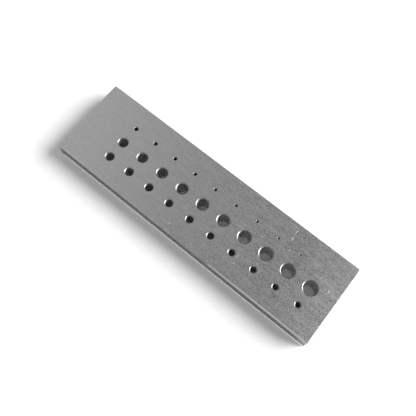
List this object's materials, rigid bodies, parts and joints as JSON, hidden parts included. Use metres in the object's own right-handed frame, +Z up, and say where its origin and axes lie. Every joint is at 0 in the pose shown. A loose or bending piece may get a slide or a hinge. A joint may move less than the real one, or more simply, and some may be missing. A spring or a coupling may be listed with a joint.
{
  "type": "staking block",
  "caption": "Flat rectangular steel bar with rows of graded through holes that hold a rivet, pin or staff by its shank while the head is set or the part is driven out.",
  "frame": {"origin": "centre of the underside, where the bar rests", "axes": "+X along the bar towards the end with the largest hole, +Y across it towards the row of fine holes, +Z up out of the top face"},
  "size_m": [0.09, 0.0254, 0.0063],
  "materials": {
    "steel": "satin, fine surface grinding with light scratches and small nicks"
  },
  "bodies": {
    "root": {"block": "steel"}
  },
  "joints": []
}
